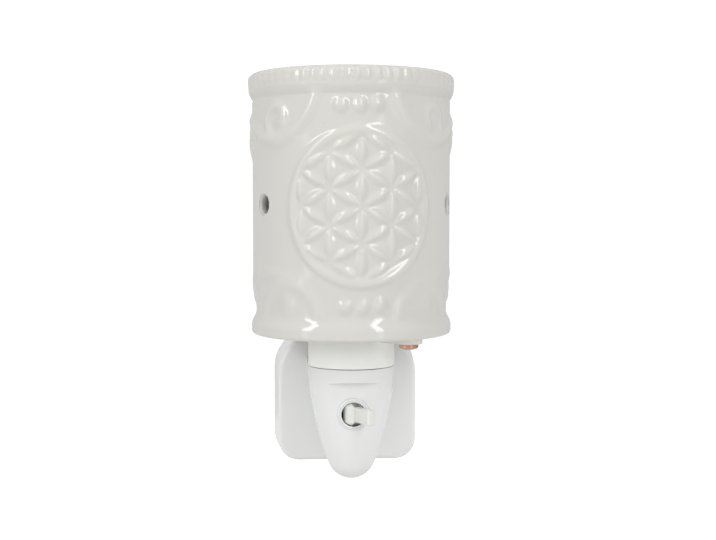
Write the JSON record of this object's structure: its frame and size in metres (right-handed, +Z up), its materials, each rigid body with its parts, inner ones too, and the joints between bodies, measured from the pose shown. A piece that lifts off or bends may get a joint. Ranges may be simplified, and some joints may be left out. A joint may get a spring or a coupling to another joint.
{
  "type": "wax melt warmer",
  "caption": "Plug-in wax melt warmer: a round ceramic shade in relief over a switched lamp, with a lift-out wax dish, on a mains plug.",
  "frame": {"origin": "middle of the plug's rear face, which lies on the wall socket", "axes": "+Z up, +Y into the wall along the pins, +X to the right as seen from the front"},
  "size_m": [0.0694, 0.0974, 0.1377],
  "materials": {
    "glazed_ceramic_white": "pale white glaze, glossy",
    "white_housing": "white moulded plastic, satin gloss",
    "bracket_white": "white powder coat",
    "switch_ivory": "warm white moulded plastic",
    "copper_screws": "copper plated",
    "zinc_fasteners": "zinc plated",
    "holder_plastic": "heat resistant white moulding",
    "brass": "bright brass",
    "sleeve_black": "black insulation",
    "earth_plastic": "white moulded plastic",
    "cap_nickel": "nickel plated",
    "lamp_glass": "clear glass",
    "lamp_black": "black glass insulator",
    "lamp_solder": "solder",
    "lamp_wire": "drawn wire",
    "wire_live": "brown wire insulation",
    "wire_neutral": "blue wire insulation"
  },
  "bodies": {
    "base": {"ceramic_shade": "glazed_ceramic_white", "plug_base": "white_housing", "plug_case": "white_housing", "pod_rear": "white_housing", "pod_front": "white_housing", "socket_collar": "white_housing", "switch_bezel": "white_housing", "shade_bracket": "bracket_white", "shade_screws": "copper_screws", "case_screws": "zinc_fasteners", "shade_nuts": "zinc_fasteners", "lampholder_body": "holder_plastic", "shade_ring": "holder_plastic", "switch_body": "holder_plastic", "live_pin": "brass", "neutral_pin": "brass", "lampholder_shell": "brass", "lampholder_contact": "brass", "switch_terminals": "brass", "pin_sleeves": "sleeve_black", "earth_pin": "earth_plastic", "switch_pivot_pin": "cap_nickel", "wire_live_in": "wire_live", "wire_live_out": "wire_live", "wire_neutral": "wire_neutral"},
    "dish": {"wax_dish": "glazed_ceramic_white"},
    "lamp": {"bulb_cap": "cap_nickel", "bulb_glass": "lamp_glass", "bulb_stem": "lamp_glass", "bulb_insulator": "lamp_black", "bulb_tip_contact": "lamp_solder", "bulb_lead_wires": "lamp_wire", "bulb_filament": "lamp_wire"},
    "lever": {"switch_lever": "switch_ivory", "switch_bridge": "brass"}
  },
  "joints": [
    {"name": "dish_lift", "type": "slide", "parent": "base", "child": "dish", "axis": [0, 0, 1], "range_m": [0, 0.05]},
    {"name": "lamp_turn", "type": "hinge", "parent": "base", "child": "lamp", "pos_m": [0, -0.04, 0.03], "axis": [0, 0, 1], "continuous": true},
    {"name": "switch_toggle", "type": "hinge", "parent": "base", "child": "lever", "pos_m": [0, -0.04975, 0], "axis": [0, 0, 1], "range_deg": [-60, 0]}
  ]
}
